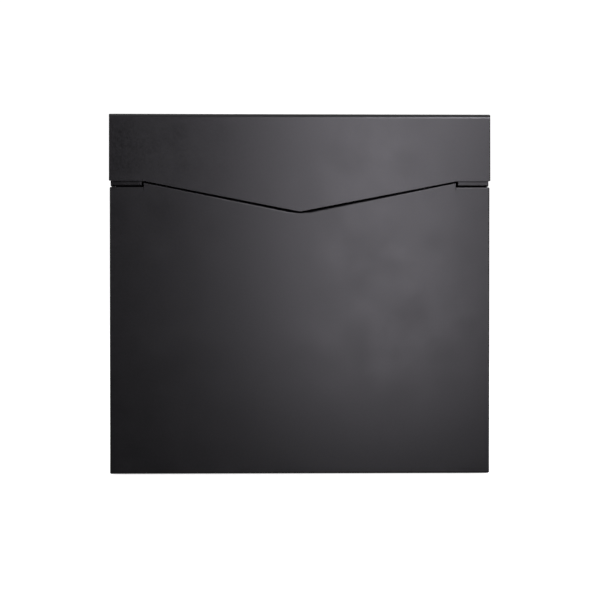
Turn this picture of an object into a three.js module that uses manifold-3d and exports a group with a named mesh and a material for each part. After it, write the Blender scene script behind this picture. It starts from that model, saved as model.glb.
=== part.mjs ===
// Wall-mounted parcel drop box with an envelope-shaped front, in millimetres, +Z up.
// +X runs along the width, the front faces -Y and the wall is on the +Y side.
// The origin is the centre of the bottom face of the box around the whole object.

import * as THREE from 'three';
import { mergeVertices } from 'three/addons/utils/BufferGeometryUtils.js';
import Module from 'manifold-3d';

const wasm = await Module();
wasm.setup();

// ---------------------------------------------------------------- driving dimensions

const HEIGHT = 380;
const DEPTH = 155;
const SHEET = 1.0;          // thickness of every folded steel sheet
const GAP = 0.3;            // gap kept between pieces that touch
const LID_WIDTH = 401.4;
const DOOR_WIDTH = 400;
const CASE_WIDTH = 398.4;

const WALL_Y = DEPTH / 2;   // rear plane, the face that meets the wall
const DOOR_Y = -75;         // outer face of the door
const PAN_DEPTH = 15;       // depth of the door's folded edges
const PAN_BOTTOM = 1;
const PAN_LIP = 8;          // width of the lips folded inwards at the back of the door pan

const FLAP_LEAN = 2.5;      // how far the flap's point stands in front of the door
const FLAP_END = 70.8;      // height of the flap at its two ends
const FLAP_POINT = 102.8;   // height of the flap at its point
const SHOULDER_X = 165;     // where the flap's straight ends meet its sloping edges
const CHEEK_REAR_Z = 344;   // lower edge of the lid's cheeks at the back
const EDGE_GAP = 1.2;       // height between the flap's edge and the door's V edge
const DOOR_END_Z = 303;     // top of the door at its two straight ends
const RELIEF = 1.2;         // width of the relief slits beside the door's V edge

const JAMB_Z = 304;         // lower edge of the front jambs
const JAMB_Y = -71;         // outer face of the front jambs
const CASE_TOP = 377.5;
const CASE_FRONT_Y = -57.5; // front edge of the case behind the door
const PANEL_FRONT_Y = WALL_Y - SHEET;
const CASE_REAR_Y = PANEL_FRONT_Y - GAP;

const ROD = { y: 63, z: 372, r: 3, boss: 5.5 };
const LID_REAR_Y = 71;
const EAR_X = 150;          // distance of the lid's hinge ears from the middle

const PIVOT = { x: -195, y: -65.5, r: 1.8, hole: 2.2 };
const LOCK = { x: 180, z: 335, r: 9.5, bore: 6.3, reach: 40 };
const CAM_Y = -49.9;        // front face of the lock's cam
const CAM_THICK = 2;

// ---------------------------------------------------------------- materials

function material(color, roughness, metalness) {
  return new THREE.MeshStandardMaterial({ color, roughness, metalness });
}

const COAT = material(0x1b1a1d, 0.5, 0.0);
const STEEL = material(0xa9abad, 0.35, 0.9);
const ZINC = material(0x8f9294, 0.4, 0.8);
const BRASS = material(0xb08d45, 0.35, 0.9);
const ALUMINIUM = material(0xc3c5c8, 0.4, 0.9);
const NYLON = material(0xdedbd2, 0.6, 0.0);
const RUBBER = material(0x141414, 0.85, 0.0);

// ---------------------------------------------------------------- shape helpers

function toSolid(geometry) {
  const bare = geometry.clone();
  bare.deleteAttribute('normal');
  bare.deleteAttribute('uv');
  const merged = mergeVertices(bare);
  const vertProperties = new Float32Array(merged.attributes.position.array);
  const triVerts = new Uint32Array(merged.index.array);
  return new wasm.Manifold(new wasm.Mesh({ numProp: 3, vertProperties, triVerts }));
}

function toGeometry(solid) {
  const mesh = solid.getMesh();
  const geometry = new THREE.BufferGeometry();
  geometry.setAttribute('position', new THREE.BufferAttribute(mesh.vertProperties, 3));
  geometry.setIndex(new THREE.BufferAttribute(mesh.triVerts, 1));
  return geometry;
}

function join(...pieces) {
  return toGeometry(pieces.map(toSolid).reduce((whole, piece) => whole.add(piece)));
}

function cut(body, ...tools) {
  return toGeometry([body, ...tools].map(toSolid).reduce((whole, tool) => whole.subtract(tool)));
}

// A box from two opposite corners, given as ranges along the three axes.
function block([x0, x1], [y0, y1], [z0, z1]) {
  const geometry = new THREE.BoxGeometry(x1 - x0, y1 - y0, z1 - z0);
  return geometry.translate((x0 + x1) / 2, (y0 + y1) / 2, (z0 + z1) / 2);
}

function outline(points) {
  return new THREE.Shape(points.map(([u, v]) => new THREE.Vector2(u, v)));
}

function extrude(shape, depth) {
  return new THREE.ExtrudeGeometry(shape, { depth, bevelEnabled: false, curveSegments: 6 });
}

// An outline in the Y-Z plane, extruded along X.
function prismX(shape, [x0, x1]) {
  const turn = new THREE.Matrix4().set(0, 0, 1, x0, 1, 0, 0, 0, 0, 1, 0, 0, 0, 0, 0, 1);
  return extrude(shape, x1 - x0).applyMatrix4(turn);
}

// An outline in the X-Z plane, extruded along Y.
function prismY(shape, [y0, y1]) {
  return extrude(shape, y1 - y0).rotateX(Math.PI / 2).translate(0, y1, 0);
}

// An outline in the X-Y plane, extruded along Z.
function prismZ(shape, [z0, z1]) {
  return extrude(shape, z1 - z0).translate(0, 0, z0);
}

function rod(radius, length, sides = 20) {
  return new THREE.CylinderGeometry(radius, radius, length, sides);
}

function rodX(radius, [x0, x1], y, z) {
  return rod(radius, x1 - x0).rotateZ(Math.PI / 2).translate((x0 + x1) / 2, y, z);
}

function rodY(radius, [y0, y1], x, z) {
  return rod(radius, y1 - y0).translate(x, (y0 + y1) / 2, z);
}

function rodZ(radius, [z0, z1], x, y) {
  return rod(radius, z1 - z0).rotateX(Math.PI / 2).translate(x, y, (z0 + z1) / 2);
}

// A washer about the Y axis, with its back face at 0.
function ring(inner, outer, thick, sides = 20) {
  const profile = [[inner, 0], [outer, 0], [outer, thick], [inner, thick], [inner, 0]];
  return new THREE.LatheGeometry(profile.map(([r, y]) => new THREE.Vector2(r, y)), sides);
}

// The range of x on one side of the middle: side is -1 on the left and 1 on the right.
function onSide(side, inner, outer) {
  return side > 0 ? [inner, outer] : [-outer, -inner];
}

function centred(width) {
  return [-width / 2, width / 2];
}

function piece(name, geometry, look, position = [0, 0, 0]) {
  const mesh = new THREE.Mesh(geometry, look.clone());
  mesh.name = name;
  mesh.position.set(...position);
  return mesh;
}

const SIDES = [['left', -1], ['right', 1]];

// Height of the flap's lower edge at a distance from the middle.
function flapEdge(x) {
  const slope = (FLAP_POINT - FLAP_END) / SHOULDER_X;
  return HEIGHT - FLAP_POINT + slope * Math.min(Math.abs(x), SHOULDER_X);
}

// ---------------------------------------------------------------- lid

function lidFlap() {
  const lean = Math.atan2(FLAP_LEAN, FLAP_POINT);
  const half = LID_WIDTH / 2;
  const along = (drop) => -drop / Math.cos(lean);
  const shape = outline([
    [-half, 0], [-half, along(FLAP_END)], [-SHOULDER_X, along(FLAP_END)], [0, along(FLAP_POINT)],
    [SHOULDER_X, along(FLAP_END)], [half, along(FLAP_END)], [half, 0],
  ]);
  const plate = extrude(shape, SHEET).translate(0, 0, -SHEET);
  return plate.rotateX(Math.PI / 2 - lean).translate(0, DOOR_Y, HEIGHT);
}

function lidCheek(side) {
  const foot = DOOR_Y - FLAP_LEAN * FLAP_END / FLAP_POINT;
  const overlap = SHEET / 2;
  const shape = outline([
    [DOOR_Y + overlap, HEIGHT - overlap], [foot + overlap, HEIGHT - FLAP_END],
    [LID_REAR_Y, CHEEK_REAR_Z], [LID_REAR_Y, HEIGHT - overlap],
  ]);
  return prismX(shape, onSide(side, LID_WIDTH / 2 - SHEET, LID_WIDTH / 2));
}

function lidShell() {
  const roof = block(centred(LID_WIDTH), [DOOR_Y + SHEET / 2, LID_REAR_Y], [HEIGHT - SHEET, HEIGHT]);
  return join(lidFlap(), roof, lidCheek(-1), lidCheek(1));
}

// A bracket welded under the roof, with a round eye for the hinge rod's bush.
function lidEar(side) {
  const top = HEIGHT - SHEET - GAP;
  const eye = 7.5;
  const front = ROD.y - 14;
  const shape = new THREE.Shape();
  shape.moveTo(front, top);
  shape.lineTo(front, top - 3);
  shape.lineTo(ROD.y - eye, ROD.z);
  shape.absarc(ROD.y, ROD.z, eye, Math.PI, 2 * Math.PI, false);
  shape.lineTo(ROD.y + eye, top);
  const plate = prismX(shape, onSide(side, EAR_X - 1, EAR_X + 1));
  const foot = block(onSide(side, EAR_X, EAR_X + 13), [front, ROD.y + eye], [top - 1.5, top]);
  const hole = rodX(4.3, onSide(side, EAR_X - 5, EAR_X + 5), ROD.y, ROD.z);
  return cut(join(plate, foot), hole);
}

function lidBush() {
  const tube = [[3.3, 0], [5, 0], [5, 1], [4, 1], [4, 4.3], [3.3, 4.3], [3.3, 0]];
  return new THREE.LatheGeometry(tube.map(([r, y]) => new THREE.Vector2(r, y)), 20);
}

function buildLid() {
  const lid = new THREE.Group();
  lid.add(piece('lid_shell', lidShell(), COAT));
  for (const [name, side] of SIDES) {
    lid.add(piece(`lid_ear_${name}`, lidEar(side), STEEL));
    const bush = piece(`lid_bush_${name}`, lidBush(), NYLON, [side * (EAR_X - 2.3), ROD.y, ROD.z]);
    bush.rotation.z = -side * Math.PI / 2;
    lid.add(bush);
  }
  return lid;
}

// ---------------------------------------------------------------- case

function caseWall(side) {
  const shape = new THREE.Shape();
  const front = JAMB_Y + SHEET + GAP;
  shape.moveTo(CASE_FRONT_Y, 0);
  shape.lineTo(CASE_REAR_Y, 0);
  shape.lineTo(CASE_REAR_Y, ROD.z - 9);
  shape.lineTo(ROD.y + ROD.boss, ROD.z - 9);
  shape.lineTo(ROD.y + ROD.boss, ROD.z);
  shape.absarc(ROD.y, ROD.z, ROD.boss, 0, Math.PI / 2, false);
  shape.lineTo(front, CASE_TOP);
  shape.lineTo(front, JAMB_Z);
  shape.lineTo(CASE_FRONT_Y, JAMB_Z);
  const wall = prismX(shape, onSide(side, CASE_WIDTH / 2 - SHEET, CASE_WIDTH / 2));
  return cut(wall, rodX(ROD.r + GAP, centred(CASE_WIDTH + 2), ROD.y, ROD.z));
}

const RIVET_X = 193;
const RIVET_ROWS = [30, 180, 330];
const DRAIN_SPOTS = [[-150, -35], [150, -35], [-150, 45], [150, 45]];

// Both walls, the floor and their folded edges are one bent sheet.
function caseWrap() {
  const half = CASE_WIDTH / 2;
  const frontEdge = [CASE_FRONT_Y, CASE_FRONT_Y + SHEET];
  const rearEdge = [CASE_REAR_Y - SHEET, CASE_REAR_Y];
  const bracketRoom = 8;
  const parts = [
    block(centred(CASE_WIDTH), [CASE_FRONT_Y, CASE_REAR_Y], [0, SHEET]),
    caseWall(-1),
    caseWall(1),
    block([-half, -half + 9], frontEdge, [bracketRoom, JAMB_Z]),
    block([half - 9, half], frontEdge, [0, JAMB_Z]),
    block([-half + 10, half], frontEdge, [0, 10]),
    block([-half, -half + 12], rearEdge, [0, ROD.z - 9]),
    block([half - 12, half], rearEdge, [0, ROD.z - 9]),
    block(centred(CASE_WIDTH), rearEdge, [0, 12]),
  ];
  const drains = DRAIN_SPOTS.map(([x, y]) => rodZ(4, [-1, SHEET + 1], x, y));
  return cut(join(...parts), ...drains, ...panelRivetHoles());
}

function panelRivetHoles() {
  const through = [CASE_REAR_Y - SHEET - 1, WALL_Y + 1];
  return RIVET_ROWS.flatMap((z) => [-RIVET_X, RIVET_X].map((x) => rodY(2, through, x, z)));
}

const BAFFLE_RIVET_Z = 305;
const BAFFLE_RIVET_X = [-150, 0, 150];

function baffleRivetHoles() {
  const through = [CASE_REAR_Y - SHEET - 1, WALL_Y + 1];
  return BAFFLE_RIVET_X.map((x) => rodY(2, through, x, BAFFLE_RIVET_Z));
}

// The flat back has two keyholes at the top and two round holes at the bottom for wall screws.
function backPanel() {
  const through = [PANEL_FRONT_Y - 1, WALL_Y + 1];
  const sheet = block(centred(CASE_WIDTH), [PANEL_FRONT_Y, WALL_Y], [0, CASE_TOP]);
  const holes = [-140, 140].flatMap((x) => [
    rodY(4, through, x, 50),
    rodY(5.5, through, x, 335),
    block([x - 2.75, x + 2.75], through, [335, 347]),
  ]);
  return cut(sheet, ...holes, ...panelRivetHoles(), ...baffleRivetHoles());
}

// A sloping plate that keeps hands and hooks away from the post.
function baffle() {
  const tab = [CASE_REAR_Y - SHEET, CASE_REAR_Y];
  const shape = outline([
    [tab[1], 312], [tab[0], 312], [tab[0], 296.63], [5.56, 262.9], [6, 262], [tab[1], 296],
  ]);
  return cut(prismX(shape, centred(360)), ...baffleRivetHoles());
}

// A jamb folded from one sheet: front plate, lower flange, inner return and a tab on the wall.
function jamb(side) {
  const outer = CASE_WIDTH / 2;
  const inner = SHOULDER_X + 1;
  const depth = [JAMB_Y, JAMB_Y + 13];
  const lift = 7;
  const wallGap = SHEET + GAP;
  return join(
    block(onSide(side, inner, outer), [JAMB_Y, JAMB_Y + SHEET], [JAMB_Z, CASE_TOP]),
    block(onSide(side, inner, outer - wallGap), depth, [JAMB_Z, JAMB_Z + SHEET]),
    block(onSide(side, inner, inner + SHEET), depth, [JAMB_Z, CASE_TOP]),
    block(onSide(side, outer - wallGap - SHEET, outer - wallGap), [JAMB_Y, -45], [JAMB_Z + lift, CASE_TOP]),
  );
}

function leftJamb() {
  return cut(jamb(-1), rodZ(PIVOT.r + GAP, [JAMB_Z - 1, JAMB_Z + 3], PIVOT.x, PIVOT.y));
}

function rightJamb() {
  return cut(jamb(1), rodY(LOCK.r + GAP, [JAMB_Y - 1, JAMB_Y + 3], LOCK.x, LOCK.z));
}

// A blind rivet about the Y axis: the shank runs to +Y from the head's back face at 0.
function rivet() {
  return join(rodY(1.7, [-0.5, 2.4], 0, 0), rodY(3.4, [-1.2, 0], 0, 0));
}

function buildCase() {
  const shell = new THREE.Group();
  shell.add(piece('case_wrap', caseWrap(), COAT));
  shell.add(piece('back_panel', backPanel(), COAT));
  shell.add(piece('baffle', baffle(), COAT));
  shell.add(piece('jamb_left', leftJamb(), COAT));
  shell.add(piece('jamb_right', rightJamb(), COAT));
  const headY = CASE_REAR_Y - SHEET - GAP;
  RIVET_ROWS.forEach((z, row) => {
    for (const [name, side] of SIDES) {
      shell.add(piece(`panel_rivet_${name}_${row + 1}`, rivet(), ALUMINIUM, [side * RIVET_X, headY, z]));
    }
  });
  BAFFLE_RIVET_X.forEach((x, spot) => {
    shell.add(piece(`baffle_rivet_${spot + 1}`, rivet(), ALUMINIUM, [x, headY, BAFFLE_RIVET_Z]));
  });
  return shell;
}

// The rod that the lid turns on, with a clip inside each wall and the lid's rubber stops.
function buildLidHinge() {
  const hinge = new THREE.Group();
  const reach = CASE_WIDTH / 2 - GAP;
  hinge.add(piece('hinge_rod', rodX(ROD.r, [-reach, reach], ROD.y, ROD.z), STEEL));
  for (const [name, side] of SIDES) {
    const clipX = side * (CASE_WIDTH / 2 - SHEET - GAP - (side > 0 ? 1.1 : 0));
    const clip = piece(`rod_clip_${name}`, ring(ROD.r + GAP, 6, 1.1), STEEL, [clipX, ROD.y, ROD.z]);
    clip.rotation.z = -Math.PI / 2;
    hinge.add(clip);
    const stop = rodY(4, [JAMB_Y - GAP - 3.9, JAMB_Y - GAP], 0, 0);
    hinge.add(piece(`lid_bumper_${name}`, stop, RUBBER, [side * 182, 0, 317]));
  }
  return hinge;
}

// ---------------------------------------------------------------- door

function doorOutline(inset) {
  const half = DOOR_WIDTH / 2 - inset;
  const vEnd = SHOULDER_X - 1;
  const rise = flapEdge(vEnd) - EDGE_GAP - inset;
  const endTop = DOOR_END_Z - inset;
  return outline([
    [-half, PAN_BOTTOM + inset], [half, PAN_BOTTOM + inset], [half, endTop], [vEnd, endTop],
    [vEnd, rise], [0, flapEdge(0) - EDGE_GAP - inset], [-vEnd, rise], [-vEnd, endTop], [-half, endTop],
  ]);
}

function doorPan() {
  const back = DOOR_Y + PAN_DEPTH;
  const tray = prismY(doorOutline(0), [DOOR_Y, back]);
  const hollow = prismY(doorOutline(SHEET), [DOOR_Y + SHEET, back + 1]);
  const lipHalf = DOOR_WIDTH / 2 - SHEET;
  const lipY = [back - SHEET, back];
  const lipZ = [PAN_BOTTOM + SHEET / 2, DOOR_END_Z - SHEET / 2];
  const lips = [
    block([-lipHalf - SHEET / 2, -lipHalf + PAN_LIP], lipY, lipZ),
    block([lipHalf - PAN_LIP, lipHalf + SHEET / 2], lipY, lipZ),
    block(centred(2 * lipHalf), lipY, [PAN_BOTTOM + SHEET / 2, PAN_BOTTOM + PAN_LIP]),
  ];
  const slits = [-1, 1].map((side) => {
    const slitX = onSide(side, SHOULDER_X - 1, SHOULDER_X - 1 + RELIEF);
    return block(slitX, [DOOR_Y - 1, back + 1], [DOOR_END_Z - 4, DOOR_END_Z + 1]);
  });
  const bracketSlot = block(
    [-DOOR_WIDTH / 2 - 1, PIVOT.x + 9],
    [DOOR_Y + SHEET + GAP, back + 1],
    [PAN_BOTTOM + SHEET, 6.5],
  );
  const pivotHole = rodZ(PIVOT.hole, [0, HEIGHT], PIVOT.x, PIVOT.y);
  return cut(join(cut(tray, hollow), ...lips), ...slits, bracketSlot, pivotHole);
}

// A hat-shaped channel across the inside of the door.
function doorStiffener() {
  const front = DOOR_Y + SHEET + GAP;
  const foot = front + SHEET;
  const back = front + 10;
  const shape = outline([
    [front, 128], [foot, 128], [foot, 140], [back, 140], [back, 160], [foot, 160], [foot, 172],
    [front, 172], [front, 159], [back - SHEET, 159], [back - SHEET, 141], [front, 141],
  ]);
  return prismX(shape, centred(360));
}

// A channel that reaches behind the lock's cam.
function doorKeeper() {
  const thick = 1.2;
  const front = DOOR_Y + SHEET + GAP;
  const hook = CAM_Y + CAM_THICK + 0.9;
  const [near, far] = [LOCK.x - 10, LOCK.x + 8.4];
  const shape = outline([
    [near, front], [far, front], [far, hook + thick], [near, hook + thick], [near, hook],
    [far - thick, hook], [far - thick, front + thick], [near, front + thick],
  ]);
  return prismZ(shape, [287, 301]);
}

function buildDoor() {
  const door = new THREE.Group();
  door.add(piece('door_pan', doorPan(), COAT));
  door.add(piece('door_stiffener', doorStiffener(), COAT));
  door.add(piece('door_keeper', doorKeeper(), STEEL));
  return door;
}

// A headed pin about the Z axis: the shank hangs down from the head's lower face at 0.
function pivotPin(length) {
  return join(rodZ(PIVOT.r, [-length, 0.5], 0, 0), rodZ(3.2, [0, 1.3], 0, 0));
}

function pivotBracket() {
  const [low, high] = [SHEET + GAP, 4.5];
  const arm = 3;
  const shape = outline([
    [PIVOT.y - 4, arm], [-52, arm], [-52, low], [-30, low], [-30, high], [PIVOT.y - 4, high],
  ]);
  const strap = prismX(shape, [PIVOT.x - 3, PIVOT.x + 4]);
  return cut(strap, rodZ(PIVOT.r + GAP, [0, 10], PIVOT.x, PIVOT.y));
}

function flatWasher(thick) {
  return ring(PIVOT.r + GAP, 3.5, thick).rotateX(Math.PI / 2);
}

function buildDoorHinge() {
  const hinge = new THREE.Group();
  const at = (z) => [PIVOT.x, PIVOT.y, z];
  const underFlange = DOOR_END_Z - SHEET - GAP - 0.8;
  hinge.add(piece('pivot_bracket', pivotBracket(), STEEL));
  hinge.add(piece('pivot_pin_upper', pivotPin(9), STEEL, at(JAMB_Z + SHEET + GAP)));
  hinge.add(piece('pivot_pin_lower', pivotPin(3.5), STEEL, at(4.5 + GAP)));
  hinge.add(piece('pivot_washer_upper', flatWasher(0.8), NYLON, at(underFlange)));
  hinge.add(piece('pivot_clip_upper', flatWasher(0.8), STEEL, at(underFlange - 0.8 - GAP)));
  hinge.add(piece('pivot_washer_lower', flatWasher(0.4), NYLON, at(PAN_BOTTOM + SHEET + GAP)));
  [40, 150, 260].forEach((z, spot) => {
    const pad = rodY(3, [CASE_FRONT_Y - GAP - 1.9, CASE_FRONT_Y - GAP], 0, 0);
    hinge.add(piece(`door_bumper_${spot + 1}`, pad, RUBBER, [CASE_WIDTH / 2 - 4.5, 0, z]));
  });
  return hinge;
}

// ---------------------------------------------------------------- cam lock

const LOCK_FACE_Y = JAMB_Y - GAP - 1.5;
const LOCK_REAR_Y = CAM_Y - 0.6;

function lockHousing() {
  const step = LOCK_FACE_Y + 1.5;
  const profile = [
    [LOCK.bore, LOCK_FACE_Y], [11.5, LOCK_FACE_Y], [11.5, step], [LOCK.r, step],
    [LOCK.r, LOCK_REAR_Y], [LOCK.bore, LOCK_REAR_Y], [LOCK.bore, LOCK_FACE_Y],
  ];
  return new THREE.LatheGeometry(profile.map(([r, y]) => new THREE.Vector2(r, y)), 28);
}

function lockPlug() {
  const body = rodY(LOCK.bore - GAP, [LOCK_FACE_Y, CAM_Y - GAP], 0, 0);
  const drive = block([-3.5, 3.5], [CAM_Y - 1, CAM_Y + CAM_THICK + 0.9], [-3.5, 3.5]);
  const keyway = block([-0.9, 0.9], [LOCK_FACE_Y - 1, LOCK_FACE_Y + 14], [-4, 3]);
  return cut(join(body, drive), keyway);
}

function lockNut() {
  const hexagon = rod(12 / Math.cos(Math.PI / 6), 4, 6);
  return cut(hexagon, rod(LOCK.r + GAP, 6, 28));
}

function lockCam() {
  const half = 6;
  const tip = LOCK.reach - half;
  const shape = new THREE.Shape();
  shape.absarc(0, tip, half, 0, Math.PI, false);
  shape.absarc(0, 0, half + 1, Math.PI, 2 * Math.PI, false);
  const blade = prismY(shape, [0, CAM_THICK]);
  return cut(blade, block([-3.8, 3.8], [-1, CAM_THICK + 1], [-3.8, 3.8]));
}

function buildLock() {
  const lock = new THREE.Group();
  lock.position.set(LOCK.x, 0, LOCK.z);
  const behind = JAMB_Y + SHEET + GAP;
  lock.add(piece('lock_housing', lockHousing(), ZINC));
  lock.add(piece('lock_washer', ring(LOCK.r + GAP, 12.5, 0.8, 28), STEEL, [0, behind, 0]));
  lock.add(piece('lock_nut', lockNut(), ZINC, [0, behind + 0.8 + GAP + 2, 0]));
  lock.add(piece('lock_plug', lockPlug(), BRASS));
  lock.add(piece('lock_cam', lockCam(), STEEL, [0, CAM_Y, 0]));
  const head = rod(6, 3.2, 6).translate(0, 1.6, 0);
  lock.add(piece('cam_screw', head, STEEL, [0, CAM_Y + CAM_THICK + 0.9 + GAP, 0]));
  return lock;
}

// ---------------------------------------------------------------- the whole box

const box = new THREE.Group();
box.add(buildCase());
box.add(buildLidHinge());
box.add(buildLid());
box.add(buildDoorHinge());
box.add(buildDoor());
box.add(buildLock());

export default box;
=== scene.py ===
"""Looks of a wall-mounted parcel drop box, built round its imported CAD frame.

The box is folded from thin steel sheet and powder coated: a lid with a V-edged
flap, a pan-shaped door, a case with a back panel, and a cam lock behind the flap.
Lengths are metres, +X runs along the width, the front faces -Y and +Z is up.
"""

import logging
import math
from dataclasses import dataclass, field
from enum import Enum
from typing import Callable, Iterable, Sequence

import bmesh
import bpy
from mathutils import Matrix, Vector

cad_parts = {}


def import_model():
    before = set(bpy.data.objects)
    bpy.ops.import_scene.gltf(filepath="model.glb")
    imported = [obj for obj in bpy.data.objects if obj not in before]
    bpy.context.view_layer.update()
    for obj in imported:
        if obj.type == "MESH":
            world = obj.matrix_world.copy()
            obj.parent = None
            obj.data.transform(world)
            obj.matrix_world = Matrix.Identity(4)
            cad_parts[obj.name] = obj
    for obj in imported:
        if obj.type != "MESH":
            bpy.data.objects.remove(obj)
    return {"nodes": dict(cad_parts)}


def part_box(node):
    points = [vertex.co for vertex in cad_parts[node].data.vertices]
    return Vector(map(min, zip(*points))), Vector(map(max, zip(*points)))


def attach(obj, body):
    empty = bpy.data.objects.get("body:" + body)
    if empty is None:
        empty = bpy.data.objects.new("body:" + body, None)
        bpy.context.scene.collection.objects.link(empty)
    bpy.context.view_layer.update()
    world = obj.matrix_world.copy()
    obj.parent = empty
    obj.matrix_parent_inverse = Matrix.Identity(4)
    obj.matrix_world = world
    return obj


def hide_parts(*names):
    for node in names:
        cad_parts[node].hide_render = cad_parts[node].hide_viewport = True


MM = 0.001
LOG = logging.getLogger("drop_box")
PATTERN_PART = (0.3, 0.7)
BROKEN_EDGE_FACES = 2
SHARP_ANGLE = math.radians(50)
FOLD_ANGLE = math.radians(20)
Point = tuple[float, float, float]
Profile = Sequence[tuple[float, float]]
Socket = bpy.types.NodeSocket
Piece = bpy.types.Object


class Body(Enum):
    """The rigid bodies of the frame."""

    CASE = "case"
    LID = "lid"
    DOOR = "door"
    ROTOR = "lock_rotor"


class Slot(Enum):
    """The record's material slots."""

    COAT = "powder_coat"
    STEEL = "plated_steel"
    ZINC = "zinc_casting"
    BRASS = "brass"
    ALUMINIUM = "aluminium_rivet"
    NYLON = "nylon"
    RUBBER = "rubber"


class Axis(Enum):
    """The direction that a turned piece's own Z axis is laid along."""

    X = Matrix(((0, 0, 1, 0), (1, 0, 0, 0), (0, 1, 0, 0), (0, 0, 0, 1)))
    Y = Matrix(((0, 1, 0, 0), (0, 0, 1, 0), (1, 0, 0, 0), (0, 0, 0, 1)))
    Z = Matrix.Identity(4)


# --- finishes


@dataclass
class NodeBench:
    """A node tree, with short calls to add and join nodes."""

    tree: bpy.types.NodeTree

    def add(self, kind: str, **settings: object) -> bpy.types.Node:
        """Adds a node and sets its properties.

        Args:
            kind: the node's type name.
            **settings: property values of the node.

        Returns:
            The new node.
        """
        node = self.tree.nodes.new(kind)
        for key, value in settings.items():
            setattr(node, key, value)
        return node

    def join(self, source: Socket, target: Socket) -> None:
        """Links an output to an input."""
        self.tree.links.new(source, target)

    def combine(self, operation: str, *terms: Socket | float) -> Socket:
        """Does a sum on outputs and numbers.

        Args:
            operation: the math node's operation.
            *terms: the outputs or numbers, in order.

        Returns:
            The result.
        """
        node = self.add("ShaderNodeMath", operation=operation)
        for term, target in zip(terms, node.inputs):
            if isinstance(term, float):
                target.default_value = term
            else:
                self.join(term, target)
        return node.outputs["Value"]

    def noise(self, place: Socket, size: float, detail: float) -> Socket:
        """A noise pattern over the piece.

        Args:
            place: the coordinates that it reads.
            size: length of one patch in metres.
            detail: number of finer layers.

        Returns:
            The pattern's value from 0 to 1.
        """
        node = self.add("ShaderNodeTexNoise")
        node.inputs["Scale"].default_value = 1 / size
        node.inputs["Detail"].default_value = detail
        self.join(place, node.inputs["Vector"])
        return node.outputs["Fac"]

    def span(self, value: Socket, low: float, high: float) -> Socket:
        """Maps the middle part of a pattern to a range of numbers.

        Args:
            value: the pattern.
            low: result at the part's low end.
            high: result at its high end.

        Returns:
            The mapped value.
        """
        node = self.add("ShaderNodeMapRange")
        for key, number in zip(("From Min", "From Max", "To Min", "To Max"), (*PATTERN_PART, low, high)):
            node.inputs[key].default_value = number
        self.join(value, node.inputs["Value"])
        return node.outputs["Result"]

    def blend(self, factor: Socket, dark: Point, light: Point) -> Socket:
        """Mixes two colours by a pattern.

        Args:
            factor: the pattern from 0 to 1.
            dark: colour at 0.
            light: colour at 1.

        Returns:
            The mixed colour.
        """
        node = self.add("ShaderNodeMix", data_type="RGBA")
        node.inputs["A"].default_value = (*dark, 1)
        node.inputs["B"].default_value = (*light, 1)
        self.join(factor, node.inputs["Factor"])
        return node.outputs["Result"]

    def bump(self, height: Socket, depth: float, strength: float,
             under: Socket | None = None) -> Socket:
        """A bump from a height pattern.

        Args:
            height: the pattern.
            depth: height of the pattern in metres.
            strength: share of the bump that shows.
            under: a coarser bump that this one lies on.

        Returns:
            The bumped normal.
        """
        node = self.add("ShaderNodeBump")
        node.inputs["Distance"].default_value = depth
        node.inputs["Strength"].default_value = strength
        self.join(height, node.inputs["Height"])
        if under is not None:
            self.join(under, node.inputs["Normal"])
        return node.outputs["Normal"]


@dataclass(frozen=True)
class Finish:
    """A surface finish: one shader whose colour, roughness and bump vary over the piece."""

    name: str
    dark: Point
    light: Point
    rough: tuple[float, float]
    metallic: float = 0.0
    specular: float = 0.5
    patch: float = 30 * MM
    grain: float = 0.5 * MM
    grain_depth: float = 0.02 * MM
    grain_strength: float = 0.5

    def start(self) -> tuple[bpy.types.Material, NodeBench, bpy.types.Node, Socket]:
        """Makes the material and its shader.

        Returns:
            The material, the bench, the shader node and the object coordinates.
        """
        material = bpy.data.materials.new(self.name)
        material.use_nodes = True
        bench = NodeBench(material.node_tree)
        shader = material.node_tree.nodes["Principled BSDF"]
        shader.inputs["Metallic"].default_value = self.metallic
        shader.inputs["Specular IOR Level"].default_value = self.specular
        place = bench.add("ShaderNodeTexCoord").outputs["Object"]
        return material, bench, shader, place

    def make(self) -> bpy.types.Material:
        """Builds the material.

        Returns:
            The finished material.
        """
        material, bench, shader, place = self.start()
        cloud = bench.noise(place, self.patch, 3)
        grain = bench.noise(place, self.grain, 2)
        bench.join(bench.blend(bench.span(cloud, 0, 1), self.dark, self.light), shader.inputs["Base Color"])
        bench.join(bench.span(grain, *self.rough), shader.inputs["Roughness"])
        bench.join(bench.bump(grain, self.grain_depth, self.grain_strength), shader.inputs["Normal"])
        return material


@dataclass(frozen=True)
class PowderCoat(Finish):
    """Baked powder paint: fine sparkling grain over a faint orange-peel waviness."""

    speck: float = 0.9 * MM
    peel: float = 4 * MM
    peel_depth: float = 0.03 * MM
    peel_strength: float = 0.25
    drift: float = 0.02

    def make(self) -> bpy.types.Material:
        """Builds the material.

        Returns:
            The finished material.
        """
        material, bench, shader, place = self.start()
        grain = bench.noise(place, self.grain, 1)
        speck = bench.noise(place, self.speck, 2)
        peel = bench.noise(place, self.peel, 2)
        cloud = bench.noise(place, self.patch, 3)
        bench.join(bench.blend(bench.span(speck, 0, 1), self.dark, self.light), shader.inputs["Base Color"])
        waver = bench.span(cloud, -self.drift, self.drift)
        rough = bench.combine("ADD", bench.span(speck, *self.rough), waver)
        bench.join(rough, shader.inputs["Roughness"])
        low = bench.bump(peel, self.peel_depth, self.peel_strength)
        bench.join(bench.bump(grain, self.grain_depth, self.grain_strength, low), shader.inputs["Normal"])
        return material


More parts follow.
